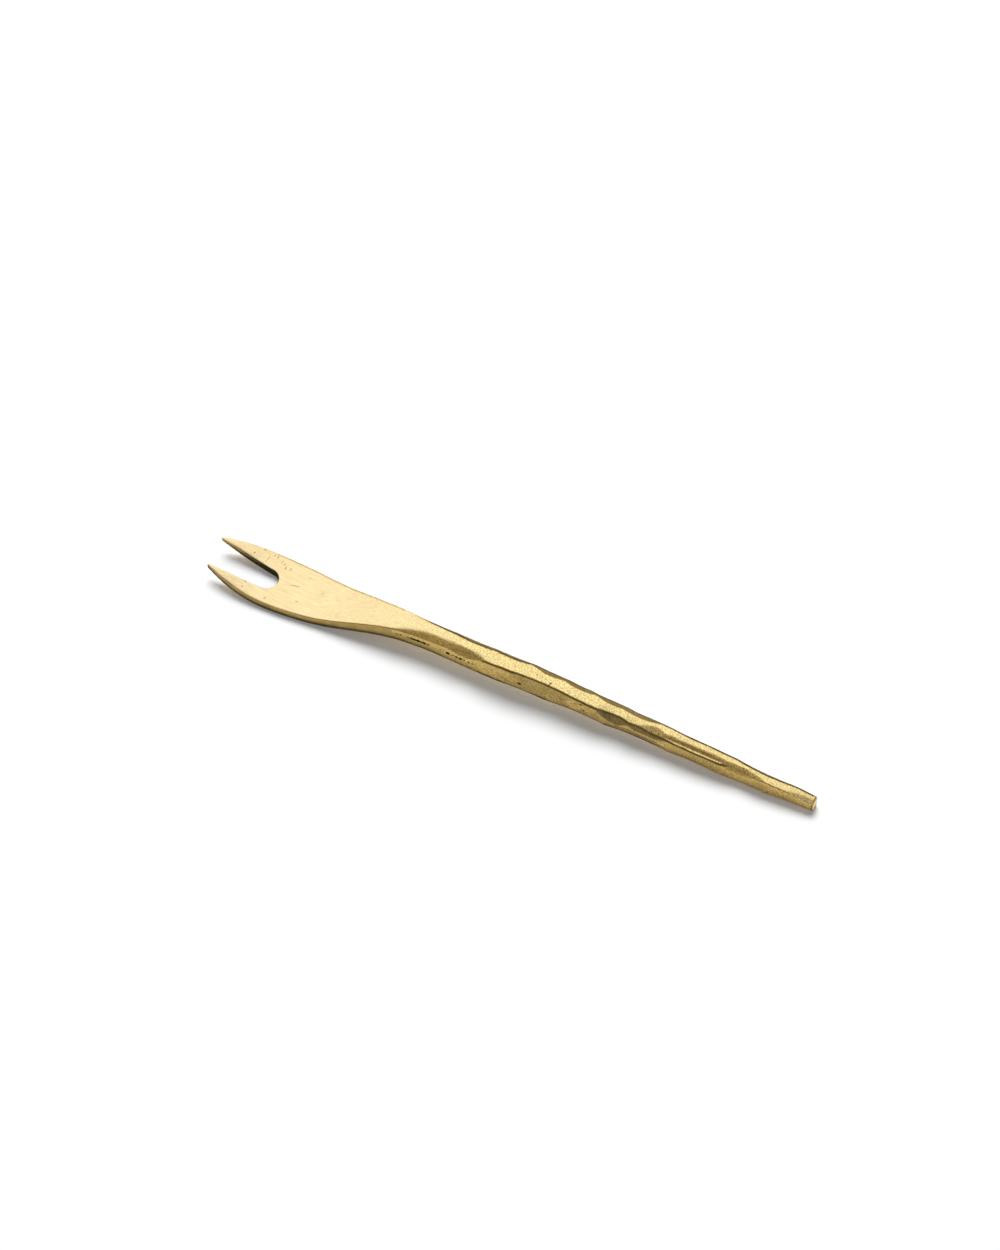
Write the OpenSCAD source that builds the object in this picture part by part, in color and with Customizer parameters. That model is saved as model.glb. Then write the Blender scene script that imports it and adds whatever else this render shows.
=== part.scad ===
// Olive fork: a flat two-tined blade whose tongue is lapped under a hand-hammered bar handle.
// Millimetres, +Z up. The tines point along -X and the handle runs along +X.
// Origin: on the table, midway along the fork and midway across the blade.

/* [Overall] */
// Length from the longer tine to the handle end
fork_length = 150; // [142:1:160]

/* [Blade outline] */
// Width across the blade at its widest
blade_width = 14.2; // [13:0.1:16]
// Distance from the tips back to the widest place
widest_from_tips = 16; // [14:0.5:18]
// Distance from the tips to where the neck has become as narrow as the bar
neck_from_tips = 59; // [55:0.5:62]
// Width across the outer corners of the two tips
tip_spread = 8.2; // [7.6:0.1:9.6]
// Width left at each pointed tip
tip_width = 0.4; // [0.3:0.1:0.8]

/* [Blade thickness and bend] */
// Thickness of the blade over the belly
blade_thickness = 2; // [1.6:0.1:2.4]
// Thickness at the tine tips
tip_thickness = 0.8; // [0.6:0.1:1.2]
// Length of the filed slope that thins each tip
tip_slope = 9; // [6:0.5:12]
// Height of the underside of the tips above the table
tip_lift = 3.2; // [1.5:0.1:4]
// Distance from the tips to the front of the flat belly
belly_from_tips = 19; // [18:0.5:20]
// Length of the flat belly that rests on the table
belly_length = 7; // [5:0.5:9]
// Height of the underside at the top of the neck
neck_lift = 2.5; // [1.5:0.1:3.5]
// Distance from the tips to the top of the neck
crest_from_tips = 50; // [46:1:54]

/* [Slot between the tines] */
// Width of the slot at its round root
slot_width = 5.7; // [5:0.1:6.2]
// Distance from the tips to the bottom of the slot
slot_depth = 17; // [14:0.5:18]
// Distance of the slot root from the centre line, toward the near side
slot_aside = 0.6; // [0:0.1:0.8]
// Amount by which the near tine is shorter
tine_step = 1.2; // [0:0.1:2]

/* [Handle bar] */
// Width of the bar at the neck
bar_width = 4.9; // [4:0.1:5.4]
// Height of the bar at its thickest
bar_height = 5.2; // [4.6:0.1:5.8]
// Distance from the tips to the thickest place of the bar
thickest_from_tips = 79; // [76:1:84]
// Width of the handle end
end_width = 2.6; // [2.2:0.1:3.4]
// Height of the handle end
end_height = 2.9; // [2.4:0.1:3.6]
// Height that the end loses where it is drawn down
end_draw = 0.5; // [0:0.1:0.8]
// Length over which the end is drawn down
draw_length = 16; // [10:1:24]
// Chamfer round the handle end
end_chamfer = 0.4; // [0.2:0.1:0.6]
// How far the neck sways to the far side and back
neck_sway = 0.2; // [0:0.05:0.4]
// Distance from the tips to where the sway starts
sway_from_tips = 34; // [30:1:40]
// How far the bar bows toward the near side
bar_bow = 0.25; // [0:0.05:0.5]
// Distance from the tips to where the bow starts
bow_from_tips = 86; // [80:1:96]

/* [Lap joint] */
// Distance from the tips to the front shoulder of the lap
lap_from_tips = 48; // [46:0.5:50]
// Length of the tongue under the handle
tongue_length = 21; // [16:0.5:22]
// Thickness of the tongue at the top of the neck
tongue_thickness = 2.3; // [2:0.1:2.6]

/* [Hammering] */
// Radius of the hammer's crowned face
face_radius = 75; // [60:1:90]
// Radius of the hammer's rounded peen
peen_radius = 18; // [14:1:24]
// Share of the full depth to which the blows are struck
blow_strength = 1; // [0.5:0.05:1.1]

/* [Hidden] */

// Blows on the handle: distance from the tips, direction struck, depth below the square corner.
// Directions go round the bar: 0 the far side, 90 the top, 180 the near side, 270 the underside.
face_blows = [
    // Along the near edge of the top
    [58, 108, 0.6], [64.5, 110, 0.62], [111, 164, 0.43], [116.5, 105, 0.44], [122, 105, 0.44],
    [127.5, 105, 0.44], [132, 105, 0.4], [148.5, 105, 0.3],
    // Along the far edge of the top
    [60.5, 60, 0.36], [67.5, 60, 0.55], [75.5, 60, 0.5], [86, 73.5, 0.42], [93, 73.5, 0.4],
    [100, 73.5, 0.4], [107, 74.5, 0.38], [120, 48, 0.28], [128.5, 48, 0.28], [137.5, 46, 0.6],
    // On the near side and along its lower edge
    [86.5, 172, 0.4], [80, 210, 0.35], [94, 206, 0.6], [108, 198, 0.75], [120.5, 200, 0.5], [134, 202, 0.3],
    [147, 205, 0.5],
    // Along the lower edge of the far side
    [82.5, 315, 0.45], [100.5, 312, 0.5], [117.5, 318, 0.45], [133.5, 314, 0.5], [146.5, 318, 0.35]
];
peen_blows = [
    // Scoops in the near edge of the top
    [66, 145, 0.8], [102.5, 165, 0.6], [112.3, 104, 0.54], [132, 148, 0.72],
    // Dents in the far side and the underside
    [97.5, 14, 0.25], [117.5, 12, 0.25], [92.5, 290, 0.35], [109.5, 286, 0.35], [125.5, 288, 0.3]
];

// Width of the hammer across the bar, and how many times the depth of a blow it can clear
hammer_width = 12;
hammer_reach = 4;

// How fast the handle comes down to the table and narrows: above 1 it waits and then hurries
arch_power = 1.5;
taper_power = 1.6;

// Spacing of the outline points on the curved blade and on the nearly straight bar
blade_step = 1.25;
bar_step = 4;

// Sides of a full circle in the slot's round root and in the hammer's curved face
slot_sides = 64;
hammer_sides = 720;

// Room for cutters to run past the metal
clear = 4;
stock_height = blade_width + 2 * clear;

// Stations along the fork
x_tip = -fork_length / 2;
x_end = fork_length / 2;
x_widest = x_tip + widest_from_tips;
x_neck = x_tip + neck_from_tips;
x_belly = x_tip + belly_from_tips;
x_crest = x_tip + crest_from_tips;
x_thickest = x_tip + thickest_from_tips;
x_lap = x_tip + lap_from_tips;
x_tongue = x_lap + tongue_length;
x_bow = x_tip + bow_from_tips;
x_sway = x_tip + sway_from_tips;
slot_radius = slot_width / 2;
x_slot = x_tip + slot_depth - slot_radius;
seat_height = neck_lift + tongue_thickness;

// Share of the way from a to b, held between 0 and 1
function part_way(x, a, b) = min(1, max(0, (x - a) / (b - a)));

// Smooth start and stop
function ease(t) = t * t * (3 - 2 * t);

// A value t of the way from a to b
function blend(a, b, t) = a + (b - a) * t;

function bar_half_width(x) =
    blend(bar_width, end_width, pow(part_way(x, x_neck, x_end), taper_power)) / 2;

// How far the middle of the bar stands toward the far side
function aside(x) = neck_sway * sin(360 * part_way(x, x_sway, x_bow))
    - bar_bow * sin(180 * part_way(x, x_bow, x_end));

function half_width(x) = x < x_widest
    ? (blade_width - (blade_width - tip_spread) * pow((x_widest - x) / widest_from_tips, 2)) / 2
    : blend(blade_width / 2, bar_half_width(x), ease(part_way(x, x_widest, x_neck)));

function underside(x) = x < x_belly ? tip_lift * pow((x_belly - x) / belly_from_tips, 2)
    : x < x_crest ? neck_lift * ease(part_way(x, x_belly + belly_length, x_crest))
    : neck_lift * (1 - pow(part_way(x, x_crest, x_end), arch_power));

function thickness(x) = x < x_belly
    ? blend(blade_thickness, tip_thickness, pow(1 - part_way(x, x_tip, x_tip + tip_slope), 2))
    : x < x_thickest ? blend(blade_thickness, bar_height, ease(part_way(x, x_belly, x_thickest)))
    : blend(bar_height, end_height + end_draw, part_way(x, x_thickest, x_end))
        - end_draw * pow(part_way(x, x_end - draw_length, x_end), 2);

function middle(x) = underside(x) + thickness(x) / 2;

// Distance from the bar's middle to its square corner, measured along a direction struck
function corner_reach(x, direction) =
    abs(cos(direction)) * half_width(x) + abs(sin(direction)) * thickness(x) / 2;

// How high that corner stands along the direction, and its slope along the bar
function corner_height(x, direction) =
    aside(x) * cos(direction) + middle(x) * sin(direction) + corner_reach(x, direction);
function corner_slope(x, direction) =
    (corner_height(x + blade_step, direction) - corner_height(x - blade_step, direction))
        / (2 * blade_step);

// Stations from one place to another, close together on the blade and wider apart on the bar
function stations(from, to) = concat(
    [for (x = [from : blade_step : min(to, x_thickest) - blade_step / 2]) x],
    [for (x = [max(from, x_thickest) : bar_step : to - bar_step / 2]) x],
    [to]
);

// A band between two lines of points, the second walked backwards
module band(low, high) {
    polygon(concat(low, [for (i = [len(high) - 1 : -1 : 0]) high[i]]));
}

// The metal between two stations: the outline seen from above, bent and thinned as seen from the side
module stock(from, to) {
    places = stations(from, to);
    intersection() {
        linear_extrude(stock_height)
            band(
                [for (x = places) [x, aside(x) - half_width(x)]],
                [for (x = places) [x, aside(x) + half_width(x)]]
            );
        translate([0, stock_height / 2, 0])
            rotate([90, 0, 0])
                linear_extrude(stock_height)
                    band(
                        [for (x = places) [x, underside(x)]],
                        [for (x = places) [x, underside(x) + thickness(x)]]
                    );
    }
}

// The gap between the tines: a round root that opens toward the pointed tips
module tine_gap() {
    x_near_tip = x_tip + tine_step;
    linear_extrude(stock_height, center = true) {
        translate([x_slot, -slot_aside])
            circle(slot_radius, $fn = slot_sides);
        polygon([
            [x_slot, slot_radius - slot_aside],
            [x_tip, half_width(x_tip) - tip_width],
            [x_tip - clear, half_width(x_tip) - tip_width],
            [x_tip - clear, -blade_width],
            [x_near_tip, -blade_width],
            [x_near_tip, tip_width - half_width(x_near_tip)],
            [x_slot, -slot_radius - slot_aside]
        ]);
    }
}

// One blow of a hammer face or peen of the given radius, which lands flat on the bar and sinks in
module blow(station, direction, depth, radius) {
    x = x_tip + station;
    height = hammer_reach * depth;
    spread = 2 * acos(1 - height / radius);
    translate([x, aside(x), middle(x)])
        rotate([direction, 0, 0])
            translate([0, corner_reach(x, direction) - depth, 0])
                rotate([0, 0, atan(corner_slope(x, direction))])
                    translate([0, radius, 0])
                        rotate([0, 0, -90 - spread / 2])
                            rotate_extrude(angle = spread, $fn = hammer_sides)
                                translate([radius - height, -hammer_width / 2])
                                    square([height, hammer_width]);
}

// The chamfer on one edge of the handle end
module end_edge(direction) {
    translate([x_end, 0, middle(x_end)])
        rotate([direction, 0, 0])
            translate([0, corner_reach(x_end, direction), 0])
                rotate([0, 0, 45])
                    cube([end_chamfer * sqrt(2), end_chamfer * sqrt(2), hammer_width], center = true);
}

// Flat blade with two tines, bent so that its belly rests on the table, and its tongue
module blade() {
    color([0.86, 0.72, 0.42])
        difference() {
            stock(x_tip, x_tongue);
            tine_gap();
            translate([x_lap, -blade_width, seat_height])
                cube([tongue_length + clear, 2 * blade_width, stock_height]);
        }
}

// Tapered bar, hammered all round, rebated underneath for the tongue
module handle() {
    color([0.68, 0.53, 0.25])
        difference() {
            stock(x_lap, x_end);
            translate([x_lap - clear, -blade_width, -clear])
                cube([tongue_length + clear, 2 * blade_width, clear + seat_height]);
            for (hit = face_blows)
                blow(hit[0], hit[1], hit[2] * blow_strength, face_radius);
            for (hit = peen_blows)
                blow(hit[0], hit[1], hit[2] * blow_strength, peen_radius);
            for (direction = [0 : 90 : 270])
                end_edge(direction);
        }
}

blade();
handle();
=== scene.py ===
import math

import bpy
import numpy as np
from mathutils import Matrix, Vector, noise
from mathutils.bvhtree import BVHTree
from mathutils.geometry import delaunay_2d_cdt


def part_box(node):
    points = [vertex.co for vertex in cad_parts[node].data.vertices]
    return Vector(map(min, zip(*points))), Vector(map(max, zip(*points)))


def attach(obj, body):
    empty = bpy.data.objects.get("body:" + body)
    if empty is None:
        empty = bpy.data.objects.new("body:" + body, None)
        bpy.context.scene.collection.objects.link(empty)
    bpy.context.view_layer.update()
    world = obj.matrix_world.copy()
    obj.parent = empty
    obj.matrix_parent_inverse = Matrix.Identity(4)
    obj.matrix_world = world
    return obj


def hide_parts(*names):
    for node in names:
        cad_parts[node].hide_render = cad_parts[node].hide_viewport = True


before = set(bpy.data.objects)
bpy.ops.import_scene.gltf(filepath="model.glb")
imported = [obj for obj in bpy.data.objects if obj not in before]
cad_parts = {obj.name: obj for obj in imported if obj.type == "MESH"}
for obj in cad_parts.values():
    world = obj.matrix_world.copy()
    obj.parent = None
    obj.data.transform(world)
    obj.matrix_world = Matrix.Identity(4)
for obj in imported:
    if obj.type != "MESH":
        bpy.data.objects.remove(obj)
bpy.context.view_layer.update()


# The table and the light
# A plain white table under one large soft light that hangs high behind the fork.
# The walls are pale, and dim only high in front of it, so facets that lean that way turn brown.
mm = 0.001


def add_node(tree, kind, inputs=None, **settings):
    """Adds one node: settings are its options, inputs are values or sockets to link, by name or number."""
    made = tree.nodes.new(kind)
    for name, value in settings.items():
        setattr(made, name, value)
    for name, value in (inputs or {}).items():
        socket = made.inputs[name]
        if isinstance(value, bpy.types.NodeSocket):
            tree.links.new(value, socket)
        else:
            socket.default_value = value
    return made


def reckon(tree, operation, *values, **settings):
    """One sum in a tree, from numbers or sockets."""
    made = add_node(tree, "ShaderNodeMath", dict(enumerate(values)), operation=operation, **settings)
    return made.outputs[0]


def reckon_vector(tree, operation, *values):
    """One sum of vectors in a tree. A dot product gives a number."""
    made = add_node(tree, "ShaderNodeVectorMath", dict(enumerate(values)), operation=operation)
    return made.outputs["Value" if operation == "DOT_PRODUCT" else "Vector"]


def mix_colours(tree, share, first, second):
    """A colour that is a share of the way from the first to the second."""
    mixed = add_node(tree, "ShaderNodeMix", {"Factor": share, 6: first, 7: second}, data_type="RGBA")
    return mixed.outputs[2]


def seen_rays(tree):
    """1 for a ray that shows the surface, straight or mirrored, and 0 for one that only carries its light."""
    rays = add_node(tree, "ShaderNodeLightPath").outputs
    seen = reckon(tree, "MAXIMUM", rays["Is Camera Ray"], rays["Is Glossy Ray"])
    return reckon(tree, "MAXIMUM", seen, rays["Is Transmission Ray"])


def put_in_scene(name, data):
    """A new object at the origin."""
    made = bpy.data.objects.new(name, data)
    bpy.context.scene.collection.objects.link(made)
    return made


table_size = 12.0
table_white = (0.94, 0.94, 0.935, 1)
table_roughness = 0.9
table_gloss = 0.1
table_lift = 0.11

half_table = table_size / 2
table_mesh = bpy.data.meshes.new("table")
table_mesh.from_pydata(
    [(-half_table, -half_table, 0), (half_table, -half_table, 0), (half_table, half_table, 0),
     (-half_table, half_table, 0)],
    [],
    [(0, 1, 2, 3)],
)
table = put_in_scene("table", table_mesh)

table_paint = bpy.data.materials.new("white_table")
table_paint.use_nodes = True
nodes = table_paint.node_tree
surface = nodes.nodes["Principled BSDF"]
surface.inputs["Base Color"].default_value = table_white
surface.inputs["Roughness"].default_value = table_roughness
surface.inputs["Specular IOR Level"].default_value = table_gloss
lift = reckon(nodes, "MULTIPLY", seen_rays(nodes), table_lift)
glow = add_node(nodes, "ShaderNodeEmission", {"Color": (1, 1, 1, 1), "Strength": lift})
both = add_node(nodes, "ShaderNodeAddShader", {0: surface.outputs[0], 1: glow.outputs[0]})
nodes.links.new(both.outputs[0], nodes.nodes["Material Output"].inputs["Surface"])
table_mesh.materials.append(table_paint)

# The room lights the table evenly. Its walls show only to the camera and in the metal.
# The dim side starts and is full at these cosines of the angle from its middle.
room_light = (0.165, 0.178, 0.196, 1)
pale_wall = (0.6, 0.595, 0.58, 1)
dim_wall = (0.305, 0.275, 0.224, 1)
dim_side = Vector((-0.303, -0.55, 0.78)).normalized()
dim_start = 0.5
dim_full = 0.85

room = bpy.data.worlds.new("room")
room.use_nodes = True
nodes = room.node_tree
looking = add_node(nodes, "ShaderNodeTexCoord").outputs["Generated"]
dimness = add_node(nodes, "ShaderNodeMapRange", {
    "Value": reckon_vector(nodes, "DOT_PRODUCT", looking, dim_side),
    "From Min": dim_start, "From Max": dim_full,
}, interpolation_type="SMOOTHSTEP").outputs[0]
walls = mix_colours(nodes, dimness, pale_wall, dim_wall)
backdrop = mix_colours(nodes, seen_rays(nodes), room_light, walls)
nodes.links.new(backdrop, nodes.nodes["Background"].inputs["Color"])
bpy.context.scene.world = room

# The softbox is what the polished top mirrors, as bright as a white sheet of that radiance.
softbox_from = Vector((-0.51, 0.96, 1.03))
softbox_width = 2.4
softbox_depth = 1.0
softbox_radiance = 0.72

softbox_data = bpy.data.lights.new("softbox", "AREA")
softbox_data.shape = "RECTANGLE"
softbox_data.size = softbox_width
softbox_data.size_y = softbox_depth
softbox_data.energy = softbox_radiance * math.pi * softbox_width * softbox_depth
softbox = put_in_scene("softbox", softbox_data)
softbox.location = softbox_from
softbox.rotation_euler = softbox_from.to_track_quat("Z", "Y").to_euler()

# The key light from the same side casts the soft shadow and is not mirrored in the metal.
key_from = Vector((-0.27, 0.46, 0.85))
key_strength = 2.6
key_spread = math.radians(36)

key_data = bpy.data.lights.new("key", "SUN")
key_data.energy = key_strength
key_data.angle = key_spread
key = put_in_scene("key", key_data)
key.rotation_euler = key_from.to_track_quat("Z", "Y").to_euler()
key.visible_glossy = False

camera_azimuth = math.radians(28.085)
camera_elevation = math.radians(50)
camera_distance = 776.8 * mm
camera_target = Vector((-8.676 * mm, 13.661 * mm, 0))
film_height = 36
lens_length = 100

toward_camera = Vector((
    math.sin(camera_azimuth) * math.cos(camera_elevation),
    -math.cos(camera_azimuth) * math.cos(camera_elevation),
    math.sin(camera_elevation),
))
camera_data = bpy.data.cameras.new("camera")
camera_data.sensor_fit = "VERTICAL"
camera_data.sensor_height = film_height
camera_data.lens = lens_length
camera = put_in_scene("camera", camera_data)
camera.location = camera_target + toward_camera * camera_distance
camera.rotation_euler = toward_camera.to_track_quat("Z", "Y").to_euler()
bpy.context.scene.camera = camera
bpy.context.scene.view_settings.view_transform = "Standard"


# The blade
# A flat forged brass blade with two pointed tines, filed smooth and bent so that its belly rests
# on the table. Its thinned tongue runs under the handle and is brazed there.
blade_low, blade_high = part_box("blade")
handle_low, handle_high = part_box("handle")
tip_x = blade_low.x
tongue_x = blade_high.x
lap_x = handle_low.x
end_x = handle_high.x
blade_width = blade_high.y - blade_low.y

widest_x = tip_x + 16 * mm
neck_x = tip_x + 59 * mm
belly_x = tip_x + 19 * mm
belly_length = 7 * mm
crest_x = tip_x + 50 * mm
thickest_x = tip_x + 79 * mm

tip_spread = 8.2 * mm
tip_width = 0.4 * mm
blade_thickness = 2 * mm
tip_thickness = 0.8 * mm
tip_slope = 9 * mm
tip_lift = 3.2 * mm
neck_lift = 2.5 * mm
arch_power = 1.5
tongue_thickness = 2.3 * mm
seat_z = neck_lift + tongue_thickness

slot_width = 5.7 * mm
slot_depth = 17 * mm
slot_radius = slot_width / 2
slot_x = tip_x + slot_depth - slot_radius
slot_y = -0.6 * mm
tine_step = 1.2 * mm

# The neck runs on into the bar of the handle, so the bar's sizes shape the blade too.
bar_width = 4.9 * mm
bar_height = 5.2 * mm
taper_power = 1.6
end_width = 2.6 * mm
end_height = 2.9 * mm
end_draw = 0.5 * mm
draw_length = 16 * mm
neck_sway = 0.2 * mm
sway_x = tip_x + 34 * mm
bar_bow = 0.25 * mm
bow_x = tip_x + 86 * mm


def part_way(x, a, b):
    """Share of the way from a to b, held between 0 and 1."""
    return np.clip((x - a) / (b - a), 0, 1)


def ease(t):
    """Smooth start and stop."""
    return t * t * (3 - 2 * t)


def between(a, b, t):
    """A value t of the way from a to b."""
    return a + (b - a) * t


def aside(x):
    """How far the middle of the fork stands toward the far side."""
    sway = neck_sway * np.sin(2 * math.pi * part_way(x, sway_x, bow_x))
    return sway - bar_bow * np.sin(math.pi * part_way(x, bow_x, end_x))


def half_width(x):
    """Half the width of the fork, from the pointed tines through the neck to the handle end."""
    tines = blade_width - (blade_width - tip_spread) * ((widest_x - x) / (widest_x - tip_x)) ** 2
    bar = between(bar_width, end_width, part_way(x, neck_x, end_x) ** taper_power)
    neck = between(blade_width, bar, ease(part_way(x, widest_x, neck_x)))
    return np.where(x < widest_x, tines, neck) / 2


def underside(x):
    """Height of the underside above the table."""
    tines = tip_lift * ((belly_x - x) / (belly_x - tip_x)) ** 2
    rise = neck_lift * ease(part_way(x, belly_x + belly_length, crest_x))
    bar = neck_lift * (1 - part_way(x, crest_x, end_x) ** arch_power)
    return np.where(x < belly_x, tines, np.where(x < crest_x, rise, bar))


def thickness(x):
    """Thickness of the metal, seen from the side."""
    slope = (1 - part_way(x, tip_x, tip_x + tip_slope)) ** 2
    tines = between(blade_thickness, tip_thickness, slope)
    neck = between(blade_thickness, bar_height, ease(part_way(x, belly_x, thickest_x)))
    bar = between(bar_height, end_height + end_draw, part_way(x, thickest_x, end_x))
    bar -= end_draw * part_way(x, end_x - draw_length, end_x) ** 2
    return np.where(x < belly_x, tines, np.where(x < thickest_x, neck, bar))


tip_rim = 0.09 * mm
blade_rim = 0.2 * mm
bar_rim = 0.38 * mm
keen_length = 4 * mm


def rim_radius(x):
    """Radius to which the long edges are dressed: keen at the tips, fuller on the bar."""
    blade_part = between(tip_rim, blade_rim, part_way(x, tip_x, tip_x + keen_length))
    return between(blade_part, bar_rim, ease(part_way(x, belly_x, neck_x)))


edge_step = 0.4 * mm
spare = 1 * mm
near_tip_x = tip_x + tine_step
tip_round = tip_width / 2
tip_turns = 12
root_turns = 36
spare_turns = 30


def spaced(a, b):
    """Places from a to b, an edge step apart."""
    return np.linspace(a, b, int(abs(b - a) / edge_step) + 1)


def outer_edge(side, x):
    """Points on the outer edge of the blade: side is 1 for the far edge and -1 for the near one."""
    return np.column_stack([x, aside(x) + side * half_width(x)])


def inner_edge(side, x):
    """Points on the straight inner edge of a tine, from the slot root toward the tip."""
    point_x = tip_x if side > 0 else near_tip_x
    point_y = side * (half_width(point_x) - tip_width)
    return np.column_stack([x, between(slot_y + side * slot_radius, point_y, part_way(x, slot_x, point_x))])


def tine_point(side):
    """The rounded point of a tine, walked anticlockwise seen from above."""
    x = (tip_x if side > 0 else near_tip_x) + tip_round
    outer = outer_edge(side, np.array([x]))[0, 1]
    inner = inner_edge(side, np.array([x]))[0, 1]
    first, last = (outer, inner) if side > 0 else (inner, outer)
    turn = np.radians(np.linspace(90, 270, tip_turns + 1))[1:-1]
    return np.column_stack([
        x + tip_round * np.cos(turn),
        (first + last) / 2 + (first - last) / 2 * np.sin(turn),
    ])


def slot_root():
    """The round bottom of the slot, from its far edge to its near edge."""
    turn = np.radians(np.linspace(90, -90, root_turns + 1))[1:-1]
    return np.column_stack([slot_x + slot_radius * np.cos(turn), slot_y + slot_radius * np.sin(turn)])


def spare_end():
    """The rounded spare metal behind the tongue, which is cut off later."""
    x = tongue_x + spare
    turn = np.radians(np.linspace(-90, 90, spare_turns + 1))[1:-1]
    radius = float(half_width(x))
    return np.column_stack([x + radius * np.cos(turn), float(aside(x)) + radius * np.sin(turn)])


outline = np.vstack([
    outer_edge(-1, spaced(near_tip_x + tip_round, tongue_x + spare)),
    spare_end(),
    outer_edge(1, spaced(tongue_x + spare, tip_x + tip_round)),
    tine_point(1),
    inner_edge(1, spaced(tip_x + tip_round, slot_x)),
    slot_root(),
    inner_edge(-1, spaced(slot_x, near_tip_x + tip_round)),
    tine_point(-1),
])

along = np.roll(outline, -1, axis=0) - np.roll(outline, 1, axis=0)
along /= np.linalg.norm(along, axis=1)[:, None]
inward = np.column_stack([-along[:, 1], along[:, 0]])

filing_depth = 0.03 * mm
filing_length = 7 * mm
filing_stretch = 1.6
filing_fades_x = crest_x - 18 * mm
filing_ends_x = lap_x - 3 * mm
top_pattern = 0.5
bottom_pattern = 7.5


def filed_away(x, y, pattern):
    """The little that the file took off unevenly, fading out toward the neck."""
    fade = 1 - ease(part_way(x, filing_fades_x, filing_ends_x))
    rough = [
        noise.noise(Vector((px / filing_length, py / filing_length * filing_stretch, pattern)))
        for px, py in zip(x, y)
    ]
    return filing_depth * fade * (0.5 + 0.5 * np.array(rough))


def top_z(x, y):
    """Height of the filed top."""
    return underside(x) + thickness(x) - filed_away(x, y, top_pattern)


def bottom_z(x, y):
    """Height of the filed underside."""
    return underside(x) + filed_away(x, y, bottom_pattern)


rim_steps = 5
wall_steps = 6
rim = rim_radius(outline[:, 0])


def rim_ring(turn, face, way):
    """One ring of the rounded rim: a quarter turn lies on the face, 0 on the wall. Way is 1 up, -1 down."""
    ring = outline + inward * (rim * (1 - np.cos(turn)))[:, None]
    z = face(*ring.T) - way * rim * (1 - np.sin(turn))
    return np.column_stack([ring, z])


upper_rings = [rim_ring(turn, top_z, 1) for turn in np.radians(np.linspace(90, 0, rim_steps + 1))]
lower_rings = [rim_ring(turn, bottom_z, -1) for turn in np.radians(np.linspace(0, 90, rim_steps + 1))]
wall_rings = [between(upper_rings[-1], lower_rings[0], step / wall_steps) for step in range(1, wall_steps)]
rings = upper_rings + wall_rings + lower_rings

grid_step = 0.35 * mm
grid_margin = 0.6 * grid_step
inner_loop = rings[0][:, :2]


def inside_points(loop, step, margin):
    """Grid points inside a closed loop and a margin away from it."""
    low = loop.min(0)
    high = loop.max(0)
    columns, rows = np.meshgrid(np.arange(low[0], high[0], step), np.arange(low[1], high[1], step))
    points = np.column_stack([columns.ravel(), rows.ravel()])
    inside = np.zeros(len(points), bool)
    nearest = np.full(len(points), np.inf)
    for (ax, ay), (bx, by) in zip(loop, np.roll(loop, -1, axis=0)):
        crosses = (ay > points[:, 1]) != (by > points[:, 1])
        if ay != by:
            inside ^= crosses & (points[:, 0] < ax + (points[:, 1] - ay) / (by - ay) * (bx - ax))
        length = (bx - ax) ** 2 + (by - ay) ** 2
        share = np.clip(((points[:, 0] - ax) * (bx - ax) + (points[:, 1] - ay) * (by - ay)) / length, 0, 1)
        gap = np.hypot(points[:, 0] - ax - share * (bx - ax), points[:, 1] - ay - share * (by - ay))
        nearest = np.minimum(nearest, gap)
    return points[inside & (nearest > margin)]


def band(first, second, count, turned=False):
    """Faces between two rings that start at these points. Turned ones face the other way."""
    quads = []
    for place in range(count):
        following = (place + 1) % count
        quad = (first + place, first + following, second + following, second + place)
        quads.append(quad[:1] + quad[:0:-1] if turned else quad)
    return quads


loop_count = len(outline)
only_inside = 1
merge_gap = 1e-6
flat = np.vstack([inner_loop, inside_points(inner_loop, grid_step, grid_margin)]) / mm
flat_points, _, triangles, came_from, _, _ = delaunay_2d_cdt(
    [Vector(point) for point in flat], [], [list(range(loop_count))], only_inside, merge_gap,
)

vertices = [tuple(point) for ring in rings for point in ring]
faces = []
for ring in range(len(rings) - 1):
    faces += band(ring * loop_count, (ring + 1) * loop_count, loop_count, turned=True)
last_ring = (len(rings) - 1) * loop_count
top_index = {}
bottom_index = {}
inner = np.array([point[:] for point in flat_points]) * mm
inner_top = top_z(*inner.T)
inner_bottom = bottom_z(*inner.T)
for number, sources in enumerate(came_from):
    edge = [source for source in sources if source < loop_count]
    if edge:
        top_index[number] = edge[0]
        bottom_index[number] = last_ring + edge[0]
    else:
        top_index[number] = len(vertices)
        vertices.append((inner[number, 0], inner[number, 1], inner_top[number]))
        bottom_index[number] = len(vertices)
        vertices.append((inner[number, 0], inner[number, 1], inner_bottom[number]))
for triangle in triangles:
    faces.append(tuple(top_index[number] for number in triangle))
    faces.append(tuple(bottom_index[number] for number in reversed(triangle)))

blade_mesh = bpy.data.meshes.new("blade")
blade_mesh.from_pydata(vertices, [], faces)
blade = put_in_scene("fork_blade", blade_mesh)


def cutting_block(name, low, high):
    """A plain block between two corners, to cut a piece with."""
    corners = [(x, y, z) for x in (low[0], high[0]) for y in (low[1], high[1]) for z in (low[2], high[2])]
    sides = [(0, 1, 3, 2), (4, 6, 7, 5), (0, 4, 5, 1), (2, 3, 7, 6), (0, 2, 6, 4), (1, 5, 7, 3)]
    data = bpy.data.meshes.new(name)
    data.from_pydata(corners, [], sides)
    return put_in_scene(name, data)


def note_points(mesh, name, values):
    """Notes a number or a vector for each point of a mesh, under a name that trees and materials read."""
    values = np.array(values, dtype=np.float32)
    kind, field = ("FLOAT", "value") if values.ndim == 1 else ("FLOAT_VECTOR", "vector")
    mesh.attributes.new(name, kind, "POINT").data.foreach_set(field, values.ravel())


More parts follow.
